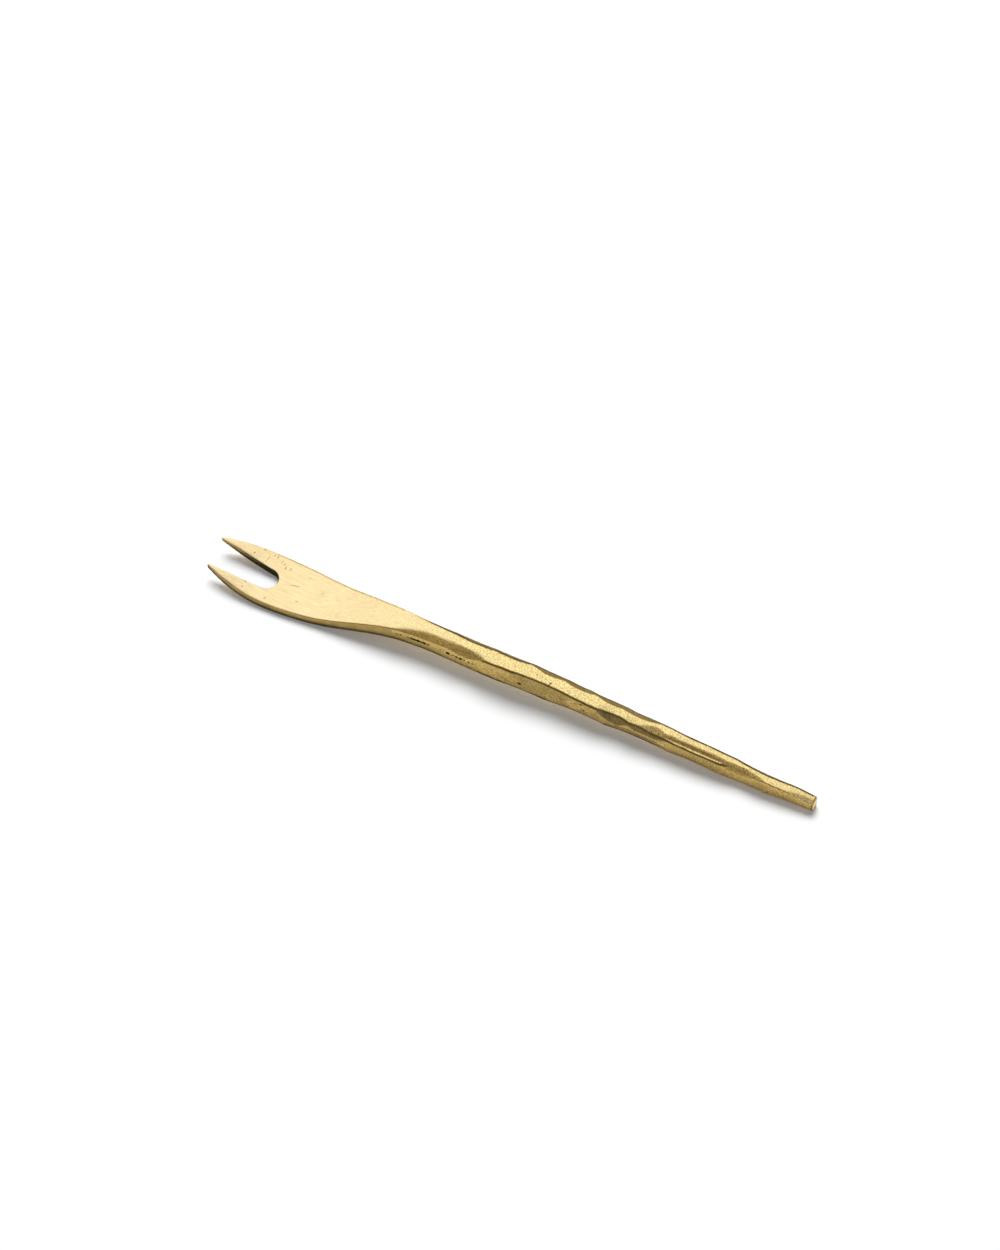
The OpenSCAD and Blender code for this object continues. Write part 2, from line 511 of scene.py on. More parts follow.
def mark_points(name, marks):
    """Places for small cutters, each with its half sizes, its turn about the vertical and its dirt."""
    places, sizes, turns, dirt = zip(*marks)
    data = bpy.data.meshes.new(name)
    data.from_pydata(places, [], [])
    note_points(data, "half_size", sizes)
    note_points(data, "turn", turns)
    note_points(data, "dirt", dirt)
    return put_in_scene(name, data)


def tree_with(name, sockets):
    """An empty geometry tree with these inputs, and its input and output nodes."""
    tree = bpy.data.node_groups.new(name, "GeometryNodeTree")
    tree.interface.new_socket("Geometry", in_out="OUTPUT", socket_type="NodeSocketGeometry")
    for socket, kind in sockets.items():
        tree.interface.new_socket(socket, in_out="INPUT", socket_type=kind)
    return tree, add_node(tree, "NodeGroupInput"), add_node(tree, "NodeGroupOutput")


def noted(tree, name, kind="FLOAT"):
    """What was noted for each point under a name."""
    return add_node(tree, "GeometryNodeInputNamedAttribute", {"Name": name}, data_type=kind).outputs[0]


def scale_vector(tree, vector, size):
    """A vector made longer or shorter."""
    return add_node(tree, "ShaderNodeVectorMath", {0: vector, "Scale": size}, operation="SCALE").outputs[0]


# Small cutters stand at the marked places and are cut out of the piece together with the lap block.
fitting, given, result = tree_with("fit_and_mark", {
    "Piece": "NodeSocketGeometry",
    "Lap block": "NodeSocketObject",
    "Marks": "NodeSocketObject",
    "Uneven": "NodeSocketFloat",
    "Seed": "NodeSocketInt",
    "Finish": "NodeSocketMaterial",
})
block = add_node(fitting, "GeometryNodeObjectInfo", {"Object": given.outputs["Lap block"]})
marks = add_node(fitting, "GeometryNodeObjectInfo", {"Object": given.outputs["Marks"]})
pebble = add_node(fitting, "GeometryNodeMeshIcoSphere", {"Radius": 1.0, "Subdivisions": 2})
chance = add_node(fitting, "FunctionNodeRandomValue", {
    2: reckon(fitting, "SUBTRACT", 1.0, given.outputs["Uneven"]),
    3: reckon(fitting, "ADD", 1.0, given.outputs["Uneven"]),
    "Seed": given.outputs["Seed"],
}, data_type="FLOAT").outputs[1]
heading = add_node(fitting, "ShaderNodeCombineXYZ", {"Z": noted(fitting, "turn")})
heading = add_node(fitting, "FunctionNodeEulerToRotation", {0: heading.outputs[0]})
placed = add_node(fitting, "GeometryNodeInstanceOnPoints", {
    "Points": marks.outputs["Geometry"], "Instance": pebble.outputs[0], "Rotation": heading.outputs[0],
    "Scale": scale_vector(fitting, noted(fitting, "half_size", "FLOAT_VECTOR"), chance),
})
pits = add_node(fitting, "GeometryNodeRealizeInstances", {0: placed.outputs[0]})
pits = add_node(fitting, "GeometryNodeStoreNamedAttribute", {
    "Geometry": pits.outputs[0], "Name": "pit", "Value": noted(fitting, "dirt"),
}, data_type="FLOAT", domain="FACE")
cutting = add_node(fitting, "GeometryNodeMeshBoolean", {
    0: given.outputs["Piece"],
}, operation="DIFFERENCE", solver="MANIFOLD")
fitting.links.new(pits.outputs[0], cutting.inputs[1])
fitting.links.new(block.outputs["Geometry"], cutting.inputs[1])
real = add_node(fitting, "GeometryNodeRealizeInstances", {0: cutting.outputs[0]})
finished = add_node(fitting, "GeometryNodeSetMaterial", {
    "Geometry": real.outputs[0], "Material": given.outputs["Finish"],
})
fitting.links.new(finished.outputs[0], result.inputs[0])


def work(piece, tree, values):
    """Puts a piece through a tree and leaves it as a plain mesh."""
    modifier = piece.modifiers.new(tree.name, "NODES")
    modifier.node_group = tree
    for item in tree.interface.items_tree:
        if item.in_out == "INPUT" and item.name in values:
            modifier[item.identifier] = values[item.name]
    worked = piece.evaluated_get(bpy.context.evaluated_depsgraph_get())
    piece.data = bpy.data.meshes.new_from_object(worked)
    piece.modifiers.remove(modifier)


# The brass is polished where the top was dressed, brown with patina on the flanks, dark in pits and cuts.
# Each piece carries its patina, with painted shade, painted dark reflections and a painted highlight line in
# it, as an attribute: 0 polished, 1 brown, 2 black.
filed_colour = (0.87, 0.695, 0.392, 1)
forged_colour = (0.83, 0.66, 0.303, 1)
patina_colour = (0.65, 0.45, 0.142, 1)
dirt_and_shade_colour = (0.035, 0.025, 0.007, 1)

# Each noise has a scale in marks to a metre, a detail and a roughness. The brush's is scaled by axis first.
patch_noise = (320.0, 5.0, 0.65)
grain_noise = (2900.0, 3.0, 0.55)
brush_scale = (260.0, 3400.0, 3400.0)
brush_noise = (1.0, 2.0, 0.5)
noise_middle = 0.5
blade_grain = 0.2
brush_fade = 1.1
brush_colour = 0.5
brush_relief = 0.5
darkest_speck = -0.6
speck_tint = (0.85, 1.0, 1.25)
sheen_low = 0.3
sheen_high = 0.7
dirt_and_shade_roughness = 0.4
dirt_and_shade_gloss = 0.15
relief_strength = 0.6
relief_depth = 0.02 * mm

brass_group = bpy.data.node_groups.new("brass_ground", "ShaderNodeTree")
for socket in ("Filed", "Forged", "Patina", "Dirt_and_shade"):
    brass_group.interface.new_socket(socket, in_out="INPUT", socket_type="NodeSocketColor")
for socket in ("Mottle", "Speckle", "Smooth", "Rough"):
    brass_group.interface.new_socket(socket, in_out="INPUT", socket_type="NodeSocketFloat")
brass_group.interface.new_socket("Color", in_out="OUTPUT", socket_type="NodeSocketColor")
for socket in ("Metallic", "Roughness", "Height"):
    brass_group.interface.new_socket(socket, in_out="OUTPUT", socket_type="NodeSocketFloat")
asked = add_node(brass_group, "NodeGroupInput").outputs
where = add_node(brass_group, "ShaderNodeTexCoord").outputs["Object"]


def brass_math(operation, first, second, **settings):
    """One sum in the brass ground."""
    return reckon(brass_group, operation, first, second, **settings)


def brass_noise(place, scale, detail, roughness):
    """Uneven marks in the brass ground, from 0 to 1."""
    return add_node(brass_group, "ShaderNodeTexNoise", {
        "Vector": place, "Scale": scale, "Detail": detail, "Roughness": roughness,
    }).outputs[0]


x_place = add_node(brass_group, "ShaderNodeSeparateXYZ", {0: where}).outputs["X"]
forged = add_node(brass_group, "ShaderNodeMapRange", {
    "Value": x_place, "From Min": float(belly_x + belly_length), "From Max": float(thickest_x),
}, interpolation_type="SMOOTHSTEP").outputs[0]
patches = brass_math("SUBTRACT", brass_noise(where, *patch_noise), noise_middle)
patches = brass_math("MULTIPLY", patches, asked["Mottle"])
patina_and_shade = add_node(brass_group, "ShaderNodeAttribute", attribute_name="patina_and_shade").outputs["Fac"]
pit_mask = add_node(brass_group, "ShaderNodeAttribute", attribute_name="pit").outputs["Fac"]
patina_and_shade = brass_math("ADD", patina_and_shade, patches)
patina_and_shade = brass_math("MAXIMUM", patina_and_shade, pit_mask)
brown = brass_math("ADD", patina_and_shade, 0.0, use_clamp=True)
black = brass_math("SUBTRACT", patina_and_shade, 1.0, use_clamp=True)
tint = mix_colours(brass_group, forged, asked["Filed"], asked["Forged"])
tint = mix_colours(brass_group, brown, tint, asked["Patina"])
tint = mix_colours(brass_group, black, tint, asked["Dirt_and_shade"])

# Grain is strong on the forged bar and faint on the blade, where the lines of the brush show instead.
grain = brass_noise(where, *grain_noise)
coarse = brass_math("ADD", brass_math("MULTIPLY", forged, 1 - blade_grain), blade_grain)
stretch = add_node(brass_group, "ShaderNodeMapping", {"Vector": where, "Scale": brush_scale}).outputs[0]
lines = brass_noise(stretch, *brush_noise)
speckle = brass_math("MULTIPLY", brass_math("SUBTRACT", grain, noise_middle), asked["Speckle"])
speckle = brass_math("MULTIPLY", speckle, coarse)
brushed = brass_math("SUBTRACT", lines, noise_middle)
brushed = brass_math("MULTIPLY", brushed, brass_math("SUBTRACT", brush_fade, forged))
speckle = brass_math("ADD", speckle, brass_math("MULTIPLY", brushed, brush_colour))
speckle = brass_math("MAXIMUM", speckle, darkest_speck)
speckle = reckon_vector(brass_group, "MULTIPLY_ADD", speckle, speck_tint, (1.0, 1.0, 1.0))
tint = reckon_vector(brass_group, "MULTIPLY", tint, speckle)
height = brass_math("ADD", brass_math("MULTIPLY", grain, coarse), brass_math("MULTIPLY", lines, brush_relief))
sheen = add_node(brass_group, "ShaderNodeMapRange", {
    "Value": grain, "From Min": sheen_low, "From Max": sheen_high,
    "To Min": asked["Smooth"], "To Max": asked["Rough"],
}).outputs[0]
sheen = brass_math("ADD", sheen, brass_math("MULTIPLY", black, dirt_and_shade_roughness))
bare = brass_math("SUBTRACT", 1.0, black, use_clamp=True)
add_node(brass_group, "NodeGroupOutput", {
    "Color": tint, "Metallic": bare, "Roughness": sheen, "Height": height,
})


def brass(name, values):
    """A brass finish on the shared ground, with its own values."""
    material = bpy.data.materials.new(name)
    material.use_nodes = True
    tree = material.node_tree
    shader = tree.nodes["Principled BSDF"]
    shader.inputs["Specular IOR Level"].default_value = dirt_and_shade_gloss
    ground = add_node(tree, "ShaderNodeGroup", values, node_tree=brass_group)
    bump = add_node(tree, "ShaderNodeBump", {
        "Height": ground.outputs["Height"], "Strength": relief_strength, "Distance": relief_depth,
    })
    tree.links.new(ground.outputs["Color"], shader.inputs["Base Color"])
    tree.links.new(ground.outputs["Metallic"], shader.inputs["Metallic"])
    tree.links.new(ground.outputs["Roughness"], shader.inputs["Roughness"])
    tree.links.new(bump.outputs[0], shader.inputs["Normal"])
    return material


filed_brass = brass("filed_brass", {
    "Filed": filed_colour, "Forged": forged_colour, "Patina": patina_colour, "Dirt_and_shade": dirt_and_shade_colour,
    "Mottle": 0.4, "Speckle": 2.2, "Smooth": 0.24, "Rough": 0.4,
})

# Where the braze drew back from the seam: distance from the tips and how open the seam is there.
open_seam = [
    (49.3, 0.6), (50.2, 0.7), (51.9, 0.6), (52.8, 1.0), (53.6, 0.9), (54.4, 1.2), (55.1, 0.9), (55.9, 1.1),
    (56.9, 0.9), (58.9, 0.4), (60.0, 0.4), (61.9, 1.15), (63.1, 0.7), (64.1, 0.8), (65.1, 1.2), (66.0, 0.9),
    (67.2, 0.8), (68.1, 0.6),
]
pit_size = np.array([0.44, 0.4, 0.31]) * mm
pit_dirt = 2.0
# Both pieces draw the same sizes from this seed, so each pit matches across the seam.
seam_uneven = 0.3
seam_seed = 5
seam_pits = []
for from_tips, wide in open_seam:
    x = tip_x + from_tips * mm
    for side in (-1, 1):
        seam_pits.append(((x, float(aside(x) + side * half_width(x)), seat_z), pit_size * wide, 0, pit_dirt))
seam_marks = mark_points("seam_marks", seam_pits)

# Scratches and dents of use on the top: distance from the tips, across, half the length, and turn.
top_scratches = [
    (11.8, 4.4, 1.5, 90), (12.7, 6.0, 0.45, 85), (13.5, 5.9, 0.5, 96), (15.0, 5.4, 0.45, 80),
    (15.8, 4.95, 0.4, 92), (16.5, 4.1, 0.5, 100), (17.7, 4.3, 0.35, 88), (8.5, 4.2, 0.35, 60),
    (10.1, 6.2, 0.4, 20), (27.5, 1.4, 0.35, 170), (21.0, 0.6, 1.2, 12), (16.8, -5.7, 0.5, 76),
    (10.8, -3.9, 0.2, 0), (10.9, -5.5, 0.2, 40), (23.7, -3.3, 0.25, 30), (22.9, 4.0, 0.3, 10),
]
scratch_width = 0.09 * mm
scratch_depth = 0.05 * mm
scratch_dirt = 1.1
scratch_uneven = 0.2
scratch_seed = 8
blade_scratches = []
for from_tips, scratch_y, half_length, turn in top_scratches:
    x = tip_x + from_tips * mm
    blade_scratches.append((
        (x, scratch_y * mm, float(underside(x) + thickness(x))),
        (half_length * mm, scratch_width, scratch_depth), math.radians(turn), scratch_dirt,
    ))
scratches = mark_points("scratches", blade_scratches)

# The tongue is cut down to the seat of the lap, and then to its length. Reach is well clear of the fork.
reach = 20 * mm
lap_block = cutting_block("lap_block", (lap_x, -reach, seat_z), (tongue_x + reach, reach, reach))
work(blade, fitting, {
    "Lap block": lap_block, "Marks": seam_marks, "Uneven": seam_uneven, "Seed": seam_seed,
    "Finish": filed_brass,
})
end_block = cutting_block("end_block", (tongue_x, -reach, -reach), (tongue_x + reach, reach, reach))
work(blade, fitting, {
    "Lap block": end_block, "Marks": scratches, "Uneven": scratch_uneven, "Seed": scratch_seed,
    "Finish": filed_brass,
})

crisp_angle = math.radians(40)


def dress(piece, patina_and_shade_at):
    """Smooth shading that stays crisp at cut edges, and the tones of oxide and painted shade worked out from
    place and slope.
    """
    mesh = piece.data
    mesh.polygons.foreach_set("use_smooth", np.ones(len(mesh.polygons), bool))
    mesh.set_sharp_from_angle(angle=crisp_angle)
    places = np.empty(len(mesh.vertices) * 3)
    slopes = np.empty(len(mesh.vertices) * 3)
    mesh.vertices.foreach_get("co", places)
    mesh.vertices.foreach_get("normal", slopes)
    note_points(mesh, "patina_and_shade", patina_and_shade_at(places.reshape(-1, 3).T, slopes.reshape(-1, 3).T))


# Painted contact shade toward the table: full up to the first height above the underside, gone at the second.
contact_shade_low = 0.585 * mm
contact_shade_high = 1.3 * mm


def contact_shade(x, z):
    """Painted contact shade where the metal stands close to the table, over some real darkening of its lower
    edge.
    """
    return 1 - part_way(z - underside(x), contact_shade_low, contact_shade_high)


# Patina and painted shade of the blade: tones of its parts, and the slopes or gaps over which each comes in.
edge_tone = 1.25
joint_tone = 0.98
contact_shade_added = 0.65
# Painted shade in the slot: it grows from the tips, where it lightens, to its deepest at the root.
slot_tip_shade = -0.4
slot_root_shade = 1.0
far_rim_tone = 1.3
underside_tone = 0.7
edge_slopes = (0.35, 0.8)
underside_slope = -0.7
shoulder_slope = 0.3
far_rim_gaps = (0.25 * mm, 0.6 * mm)
far_rim_x = tip_x + 6 * mm
slot_margin = 0.3 * mm


def blade_patina_and_shade(place, slope):
    """Polished on top, brown on the edges, dark along the far rim, with painted contact shade toward the
    table and painted shade in the sawn slot.
    """
    x, y, z = place
    flank = ease(part_way(np.hypot(slope[0], slope[1]), *edge_slopes))
    shoulder = (np.abs(x - lap_x) < edge_step) & (np.abs(slope[1]) < shoulder_slope)
    flank = np.where(shoulder, 0, flank)
    faces_slot = slope[1] * (slot_y - y) - slope[0] * (x - slot_x) * (x > slot_x) > 0
    in_slot = faces_slot & (x < slot_x + slot_radius + slot_margin)
    slot_shade = between(slot_tip_shade, slot_root_shade, part_way(x, tip_x, slot_x))
    flank_tone = between(edge_tone, joint_tone, part_way(x, lap_x, tongue_x))
    worn = flank * (flank_tone + contact_shade_added * contact_shade(x, z) + in_slot * slot_shade)
    far_rim = 1 - part_way(half_width(x) - (y - aside(x)), *far_rim_gaps)
    far_rim *= (y > aside(x)) * part_way(x, far_rim_x, widest_x) * (slope[2] > 0)
    worn = np.maximum(worn, far_rim_tone * far_rim)
    return np.where(slope[2] < underside_slope, underside_tone, worn)


dress(blade, blade_patina_and_shade)
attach(blade, "root")
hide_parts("blade")


# The handle
# A tapered brass bar, square in section, hammered all round into long uneven facets.
# It is rebated underneath, sits on the blade's tongue, and is brazed and dressed flush.
flat_steps = 26
corner_steps = 9


def round_section():
    """Shares of a rounded rectangle, from the far side over the top: corner places and outward turns."""
    rows = []
    for quarter, corner in enumerate(((1, 1), (-1, 1), (-1, -1), (1, -1))):
        start = math.radians(90 * quarter)
        for step in range(corner_steps + 1):
            turn = start + math.pi / 2 * step / corner_steps
            rows.append((*corner, math.cos(turn), math.sin(turn)))
        turn = start + math.pi / 2
        onward = (-corner[1], corner[0])
        for step in range(1, flat_steps):
            share = step / flat_steps
            rows.append((
                between(corner[0], onward[0], share), between(corner[1], onward[1], share),
                math.cos(turn), math.sin(turn),
            ))
    return np.array(rows).T


across, upright, turn_y, turn_z = round_section()
section_count = len(across)


def section(x, inset):
    """One closed ring of points round the bar, drawn in by an inset."""
    wide = half_width(x) - inset
    tall = thickness(x) / 2 - inset
    corner = rim_radius(x)
    y = aside(x) + (wide - corner) * across + corner * turn_y
    z = underside(x) + thickness(x) / 2 + (tall - corner) * upright + corner * turn_z
    return y, z


bar_step = 0.3 * mm
end_round = 0.45 * mm
end_steps = 6
end_rings = 6

stations = [(x, 0.0) for x in np.arange(lap_x, end_x - end_round, bar_step)]
for turn in np.radians(np.linspace(0, 90, end_steps + 1)):
    stations.append((end_x - end_round * (1 - math.sin(turn)), end_round * (1 - math.cos(turn))))
vertices = []
for x, inset in stations:
    vertices += [(x, *point) for point in zip(*section(x, inset))]
faces = []
for ring in range(len(stations) - 1):
    faces += band(ring * section_count, (ring + 1) * section_count, section_count)
previous = (len(stations) - 1) * section_count
end_edge = np.array(vertices[previous:])
end_middle = end_edge.mean(0)
for ring in range(1, end_rings):
    first = len(vertices)
    vertices += [tuple(point) for point in between(end_edge, end_middle, ring / end_rings)]
    faces += band(previous, first, section_count)
    previous = first
vertices.append(tuple(end_middle))
for place in range(section_count):
    faces.append((previous + place, previous + (place + 1) % section_count, len(vertices) - 1))
front_middle = np.array(vertices[:section_count]).mean(0)
vertices.append(tuple(front_middle))
for place in range(section_count):
    faces.append(((place + 1) % section_count, place, len(vertices) - 1))

handle_mesh = bpy.data.meshes.new("handle")
handle_mesh.from_pydata(vertices, [], faces)
handle = put_in_scene("fork_handle", handle_mesh)

# Hammer blows: distance from the tips, direction struck, depth below the square corner, and the tone left:
# tarnish, with painted shade.
# Directions go round the bar: 0 the far side, 90 the top, 180 the near side, 270 the underside.
face_radius = 75 * mm
peen_radius = 18 * mm
face_blows = [
    # Along the near edge of the top
    (58, 108, 0.6, 1.0), (64.5, 110, 0.62, 1.0), (111, 164, 0.43, 1.6),
    (116.5, 105, 0.44, 0.7), (122, 105, 0.44, 0.7), (127.5, 105, 0.44, 0.7), (132, 105, 0.4, 0.7),
    (148.5, 105, 0.3, 0.15),
    # Along the far edge of the top
    (60.5, 60, 0.36, 1.7), (67.5, 60, 0.55, 1.7), (75.5, 60, 0.5, 1.7),
    (86, 73.5, 0.42, 1.65), (93, 73.5, 0.4, 1.65), (100, 73.5, 0.4, 1.65), (107, 74.5, 0.38, 1.65),
    (120, 48, 0.28, 1.6), (128.5, 48, 0.28, 1.6), (137.5, 46, 0.6, 1.6),
    # On the near side and along its lower edge
    (86.5, 172, 0.4, 1.3), (80, 210, 0.35, 1.3), (94, 206, 0.6, 1.35), (108, 198, 0.75, 1.2),
    (120.5, 200, 0.5, 1.3), (134, 202, 0.3, 1.2), (147, 205, 0.5, 1.0),
    # Along the lower edge of the far side
    (82.5, 315, 0.45, 1.1), (100.5, 312, 0.5, 1.1), (117.5, 318, 0.45, 1.1), (133.5, 314, 0.5, 1.1),
    (146.5, 318, 0.35, 1.1),
]
peen_blows = [
    # Scoops in the near edge of the top
    (66, 145, 0.8, 1.2), (102.5, 165, 0.6, 1.6), (112.3, 104, 0.54, 0.6), (132, 148, 0.72, 1.15),
    # Dents in the far side and the underside
    (97.5, 14, 0.25, 1.1), (117.5, 12, 0.25, 1.1), (92.5, 290, 0.35, 1.1), (109.5, 286, 0.35, 1.1),
    (125.5, 288, 0.3, 1.1),
]
blows_struck = []


def struck_height(x, turn, corner_share):
    """How high the bar stands along a direction struck, at its flat or out to its square corner."""
    flat_reach, corner_reach = sorted([
        abs(math.cos(turn)) * half_width(x), abs(math.sin(turn)) * thickness(x) / 2,
    ], reverse=True)
    return flat_reach + corner_share * corner_reach


def land(surface, from_tips, direction, depth, radius, curve, softness):
    """Notes one blow on a line along the bar: place, way, radius along, curve across, softness of ridge."""
    x = tip_x + from_tips * mm
    way = np.array([0, math.cos(direction), math.sin(direction)])
    slope = (surface(x + bar_step) - surface(x - bar_step)) @ way / (2 * bar_step)
    tilted = way - np.array([slope, 0, 0])
    blows_struck.append((
        surface(x) - way * depth * mm, tilted / np.linalg.norm(tilted), radius, curve, softness,
    ))


def strike(from_tips, direction, depth, radius, softness, corner_share=1):
    """One blow of a face or peen that is straight across the bar."""
    turn = math.radians(direction)

    def surface(x):
        middle = np.array([x, aside(x), underside(x) + thickness(x) / 2])
        return middle + np.array([0, math.cos(turn), math.sin(turn)]) * struck_height(x, turn, corner_share)

    straight = 0
    land(surface, from_tips, turn, depth, radius, straight, softness)


neck_softness = 0.4 * mm
ridge_softness = 0.09 * mm
tongue_from_tips = (tongue_x - tip_x) / mm
tarnish_and_shade = []
for from_tips, direction, depth, tone in face_blows:
    dressed = from_tips < tongue_from_tips and direction > 90
    strike(from_tips, direction, depth, face_radius, neck_softness if dressed else ridge_softness)
    tarnish_and_shade.append(tone)
for from_tips, direction, depth, tone in peen_blows:
    strike(from_tips, direction, depth, peen_radius, ridge_softness)
    tarnish_and_shade.append(tone)

# The hammer's edge left a groove along the near edge of the top: across it the hammer is keenly curved.
groove_from_edge = 0.72 * mm
groove_below_top = 0.28 * mm
groove_from_tips = 121.5
groove_direction = math.radians(105)
groove_depth = 0.2
groove_radius = 140 * mm
hammer_edge = 0.8 * mm


def near_edge(x):
    """The line of the groove along the near edge of the top."""
    return np.array([
        x, aside(x) - half_width(x) + groove_from_edge, underside(x) + thickness(x) - groove_below_top,
    ])


land(
    near_edge, groove_from_tips, groove_direction, groove_depth,
    groove_radius, 1 / hammer_edge, ridge_softness,
)

# Light planishing blows all round leave the facets faintly uneven.
# Each row of them has a direction, a first distance from the tips, and a lean that the blows keep within.
planishing = np.random.default_rng(14)
planish_rows = ((0, 72, 3), (90, 60, 5), (180, 72, 3), (270, 72, 3))
planish_end = 147
planish_step = 4.2
planish_scatter = 1.5
planish_depth = 0.06
planish_radii = (22, 38)
planish_softness = 0.12 * mm
for direction, first_place, lean in planish_rows:
    for from_tips in np.arange(first_place, planish_end, planish_step):
        strike(
            from_tips + planishing.uniform(-planish_scatter, planish_scatter),
            direction + planishing.uniform(-lean, lean),
            planishing.uniform(0.0, planish_depth),
            planishing.uniform(*planish_radii) * mm,
            planish_softness,
            corner_share=0,
        )
blow_places, blow_ways, blow_radii, blow_curves, blow_softness = zip(*blows_struck)
blow_mesh = bpy.data.meshes.new("blows")
blow_mesh.from_pydata(blow_places, [], [])
note_points(blow_mesh, "way", blow_ways)
note_points(blow_mesh, "radius", blow_radii)
note_points(blow_mesh, "curve", blow_curves)
note_points(blow_mesh, "softness", blow_softness)
blows = put_in_scene("blows", blow_mesh)

# One pass for each blow: what stands above the hammer's curved face is pushed down to it.
hammering, given, result = tree_with("hammering", {
    "Bar": "NodeSocketGeometry",
    "Blows": "NodeSocketObject",
    "Finish": "NodeSocketMaterial",
})
struck = add_node(hammering, "GeometryNodeObjectInfo", {"Object": given.outputs["Blows"]}).outputs["Geometry"]
count = add_node(hammering, "GeometryNodeAttributeDomainSize", {0: struck}, component="MESH")
start = add_node(hammering, "GeometryNodeRepeatInput", {"Iterations": count.outputs["Point Count"]})
stop = add_node(hammering, "GeometryNodeRepeatOutput")
start.pair_with_output(stop)
hammering.links.new(given.outputs["Bar"], start.inputs["Geometry"])


def of_this_blow(field, kind="FLOAT"):
    """A value of the blow whose turn it is."""
    made = add_node(hammering, "GeometryNodeSampleIndex", {
        "Geometry": struck, "Value": field, "Index": start.outputs["Iteration"],
    }, data_type=kind, domain="POINT")
    return made.outputs[0]


def hammer_math(operation, *values):
    """One sum in the hammering."""
    return reckon(hammering, operation, *values)


position = add_node(hammering, "GeometryNodeInputPosition").outputs[0]
this_place = of_this_blow(position, "FLOAT_VECTOR")
this_way = of_this_blow(noted(hammering, "way", "FLOAT_VECTOR"), "FLOAT_VECTOR")
this_radius = of_this_blow(noted(hammering, "radius"))
this_curve = of_this_blow(noted(hammering, "curve"))
this_softness = of_this_blow(noted(hammering, "softness"))
offset = reckon_vector(hammering, "SUBTRACT", position, this_place)
above = reckon_vector(hammering, "DOT_PRODUCT", offset, this_way)
along_bar = add_node(hammering, "ShaderNodeSeparateXYZ", {0: offset}).outputs["X"]
crosswise = reckon_vector(hammering, "CROSS_PRODUCT", this_way, (1, 0, 0))
across_bar = reckon_vector(hammering, "DOT_PRODUCT", offset, crosswise)
square_along = hammer_math("MULTIPLY", along_bar, along_bar)
square_across = hammer_math("MULTIPLY", across_bar, across_bar)
crown = hammer_math("DIVIDE", square_along, hammer_math("MULTIPLY", this_radius, 2.0))
crown = hammer_math("MULTIPLY_ADD", square_across, hammer_math("MULTIPLY", this_curve, 0.5), crown)
proud = hammer_math("SUBTRACT", above, crown)
pushed = hammer_math("SMOOTH_MAX", proud, 0.0, this_softness)
shift = scale_vector(hammering, this_way, hammer_math("MULTIPLY", pushed, -1.0))
moved = add_node(hammering, "GeometryNodeSetPosition", {
    "Geometry": start.outputs["Geometry"], "Offset": shift,
})
hammering.links.new(moved.outputs[0], stop.inputs["Geometry"])
real = add_node(hammering, "GeometryNodeRealizeInstances", {0: stop.outputs["Geometry"]})
finished = add_node(hammering, "GeometryNodeSetMaterial", {
    "Geometry": real.outputs[0], "Material": given.outputs["Finish"],
})
hammering.links.new(finished.outputs[0], result.inputs[0])

hammered_brass = brass("hammered_brass", {
    "Filed": filed_colour, "Forged": forged_colour, "Patina": patina_colour, "Dirt_and_shade": dirt_and_shade_colour,
    "Mottle": 0.4, "Speckle": 2.2, "Smooth": 0.24, "Rough": 0.4,
})
work(handle, hammering, {"Blows": blows, "Finish": hammered_brass})

# Each ring of the bar knows how far its points are from the two long edges of the top, where a dark
# reflection is painted.
# An edge is the point of a ring that stands out most upward and by this share to the side.
edge_leans = (-1, 0.45)
points = np.empty(len(handle.data.vertices) * 3)
handle.data.vertices.foreach_get("co", points)
bar_rings = points.reshape(-1, 3)[:len(stations) * section_count].reshape(-1, section_count, 3)
edge_gap = np.full(len(handle.data.vertices), reach)
for lean in edge_leans:
    outermost = np.argmax(bar_rings @ np.array([0, lean, 1]), axis=1)
    edge = bar_rings[np.arange(len(bar_rings)), outermost]
    gap = np.linalg.norm(bar_rings - edge[:, None], axis=2).ravel()
    edge_gap[:gap.size] = np.minimum(edge_gap[:gap.size], gap)
note_points(handle.data, "edge_gap", edge_gap)

# Nicks in the top: distance from the tips, across, half the length, half the width, and turn.
top_nicks = [(86.6, -1.35, 0.7, 0.07, 78), (119.4, -1.75, 0.8, 0.07, 0), (83.0, -0.4, 0.13, 0.13, 0)]
nick_depth = 0.1 * mm
# Pits in the near side: distance from the tips, height above the table, half the length, half the height.
side_pits = [
    (79.7, 4.45, 0.48, 0.38), (75.6, 4.2, 0.16, 0.12), (76.3, 3.9, 0.2, 0.1), (94.7, 5.6, 0.2, 0.2),
    (95.4, 4.0, 0.18, 0.16), (93.2, 5.3, 0.12, 0.1), (90.1, 4.7, 0.12, 0.1), (107.6, 4.2, 0.12, 0.1),
]
side_pit_depth = 0.15 * mm
bar_faces = BVHTree.FromObject(handle, bpy.context.evaluated_depsgraph_get())
bar_pits = []
for from_tips, nick_y, half_length, half_breadth, turn in top_nicks:
    x = tip_x + from_tips * mm
    hit = bar_faces.ray_cast(Vector((x, nick_y * mm, reach)), Vector((0, 0, -1)))[0]
    bar_pits.append((hit, (half_length * mm, half_breadth * mm, nick_depth), math.radians(turn), pit_dirt))
for from_tips, pit_z, half_length, half_height in side_pits:
    x = tip_x + from_tips * mm
    hit = bar_faces.ray_cast(Vector((x, -reach, pit_z * mm)), Vector((0, 1, 0)))[0]
    bar_pits.append((hit, (half_length * mm, side_pit_depth, half_height * mm), 0, pit_dirt))
bar_marks = mark_points("bar_marks", seam_pits + bar_pits)
rebate_block = cutting_block("rebate_block", (lap_x - reach, -reach, -reach), (tongue_x, reach, seat_z))
work(handle, fitting, {
    "Lap block": rebate_block, "Marks": bar_marks, "Uneven": seam_uneven, "Seed": seam_seed,
    "Finish": hammered_brass,
})

